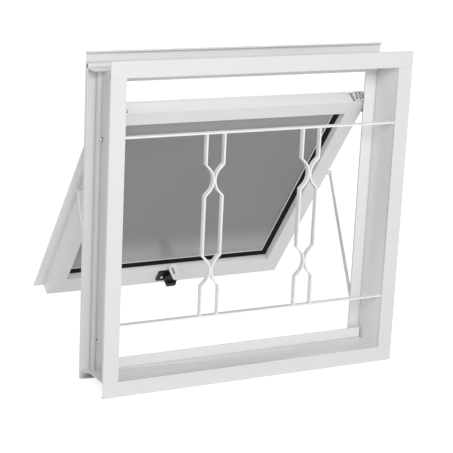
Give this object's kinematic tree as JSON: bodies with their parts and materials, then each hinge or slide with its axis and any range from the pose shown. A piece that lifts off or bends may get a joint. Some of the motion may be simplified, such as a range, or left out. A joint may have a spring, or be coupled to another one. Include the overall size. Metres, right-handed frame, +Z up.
{
  "type": "top hung awning window",
  "caption": "Small white aluminium window with a frosted pane hung at the top and swung out on side stays, with a fixed ornamental bar grille on the room side.",
  "frame": {"origin": "middle of the flat underside of the sill, which stands on the bottom of the wall opening", "axes": "+X to the right seen from the room, +Y out through the wall, +Z up"},
  "size_m": [0.6, 0.4159, 0.6],
  "materials": {
    "frame_paint": "satin white powder coat on aluminium",
    "casing_paint": "satin white powder coat on aluminium",
    "grille_paint": "satin white powder coat on aluminium flat bar",
    "sash_paint": "satin white powder coat on aluminium",
    "frosted_glass": "fine-patterned obscure glass",
    "gasket_rubber": "matt black",
    "nylon": "light grey moulded nylon",
    "stay_steel": "plain zinc grey",
    "latch_black": "fine matt black",
    "latch_white": "white"
  },
  "bodies": {
    "root": {"frame_sill": "frame_paint", "frame_head": "frame_paint", "left_jamb": "frame_paint", "right_jamb": "frame_paint", "sill_casing": "casing_paint", "head_casing": "casing_paint", "left_casing": "casing_paint", "right_casing": "casing_paint", "grille_top_bar": "grille_paint", "grille_bottom_bar": "grille_paint", "grille_left_outer_bar": "grille_paint", "grille_left_inner_bar": "grille_paint", "grille_right_inner_bar": "grille_paint", "grille_right_outer_bar": "grille_paint", "sash_top_rail": "sash_paint", "sash_bottom_rail": "sash_paint", "sash_left_stile": "sash_paint", "sash_right_stile": "sash_paint", "glass_pane": "frosted_glass", "glazing_gasket": "gasket_rubber", "left_corner_block": "nylon", "right_corner_block": "nylon", "left_slide_shoe": "nylon", "right_slide_shoe": "nylon", "left_stay_arm": "stay_steel", "right_stay_arm": "stay_steel", "left_jamb_pivot": "stay_steel", "right_jamb_pivot": "stay_steel", "left_sash_pivot": "stay_steel", "right_sash_pivot": "stay_steel", "left_stop_screw": "stay_steel", "right_stop_screw": "stay_steel", "latch_base": "latch_black", "latch_hook": "latch_black", "latch_lever": "latch_white"}
  },
  "joints": []
}
